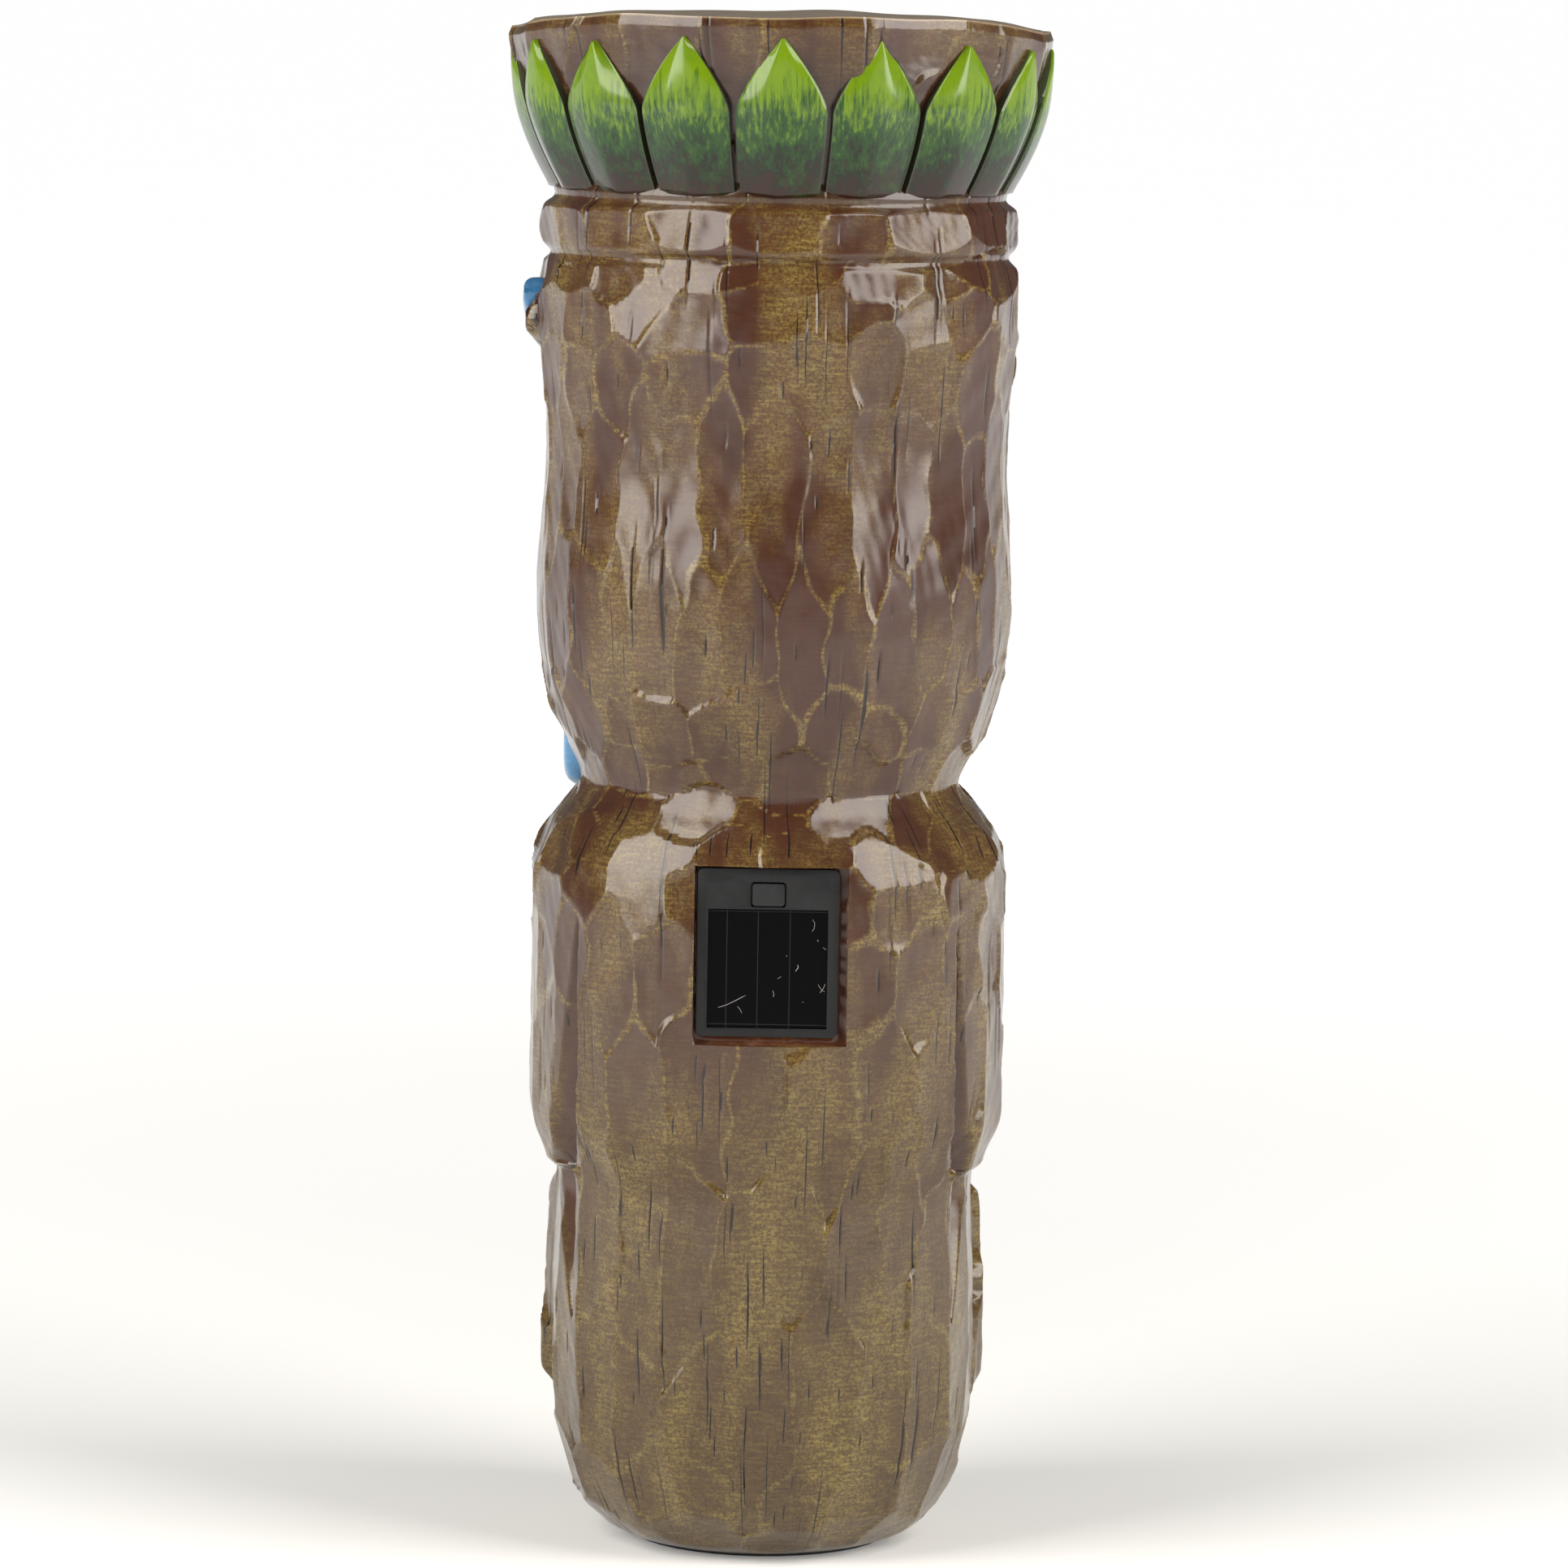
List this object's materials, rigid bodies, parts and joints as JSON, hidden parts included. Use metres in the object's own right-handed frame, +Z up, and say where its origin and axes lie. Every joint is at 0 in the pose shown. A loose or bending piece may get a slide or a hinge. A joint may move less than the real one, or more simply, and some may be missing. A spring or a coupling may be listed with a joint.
{
  "type": "solar garden tiki figure",
  "caption": "Standing carved-log tiki figure in hollow cast resin with a leaf crown, lit eyes, and a solar lamp module with a push button set into its back.",
  "frame": {"origin": "middle of the underside, on the surface the figure stands on", "axes": "+Z up, -Y the way the face looks, +Y the way the solar module looks, +X the figure's own left"},
  "size_m": [0.1786, 0.1746, 0.508],
  "materials": {
    "cast_resin": "brushed paint over filled resin under a semi-gloss lacquer, with a tan dry-brush and green leaves",
    "module_plastic": "fine satin moulding texture",
    "soft_rubber": "dull",
    "sealant": "glossy brown bead",
    "cell_cover": "clear, lightly scratched",
    "silicon": "near black",
    "circuit_laminate": "satin green",
    "battery_sleeve": "printed sleeve, plain",
    "plated_steel": "bright plating",
    "coil_copper": "enamelled copper",
    "lead_red": "flexible sleeve",
    "lead_black": "flexible sleeve",
    "eye_lens": "milky, glossy",
    "lamp_clear": "clear, glossy"
  },
  "bodies": {
    "figure": {"figure_casting": "cast_resin", "base_plate": "cast_resin", "module_bezel": "module_plastic", "module_tray": "module_plastic", "switch_body": "module_plastic", "driver_chip": "module_plastic", "eye_lamp_holder_left": "module_plastic", "eye_lamp_holder_right": "module_plastic", "module_gasket": "soft_rubber", "lead_grommet": "soft_rubber", "module_sealant": "sealant", "cell_cover": "cell_cover", "cell_board": "circuit_laminate", "circuit_board": "circuit_laminate", "battery": "battery_sleeve", "battery_contact": "plated_steel", "battery_spring": "plated_steel", "boost_coil": "coil_copper", "eye_lead_left": "lead_red", "eye_lead_right": "lead_black", "eye_lens_left": "eye_lens", "eye_lens_right": "eye_lens", "eye_lamp_left": "lamp_clear", "eye_lamp_right": "lamp_clear", "cell_strip_1": "silicon", "module_screw_1": "plated_steel", "cell_strip_2": "silicon", "module_screw_2": "plated_steel", "cell_strip_3": "silicon", "module_screw_3": "plated_steel", "cell_strip_4": "silicon", "module_screw_4": "plated_steel"},
    "power_button": {"power_button": "soft_rubber"}
  },
  "joints": [
    {"name": "power_button_press", "type": "slide", "parent": "figure", "child": "power_button", "axis": [0, -1, 0], "range_m": [0, 0.0015], "stiffness_N_per_m": 800, "springref_m": -0.0005}
  ]
}
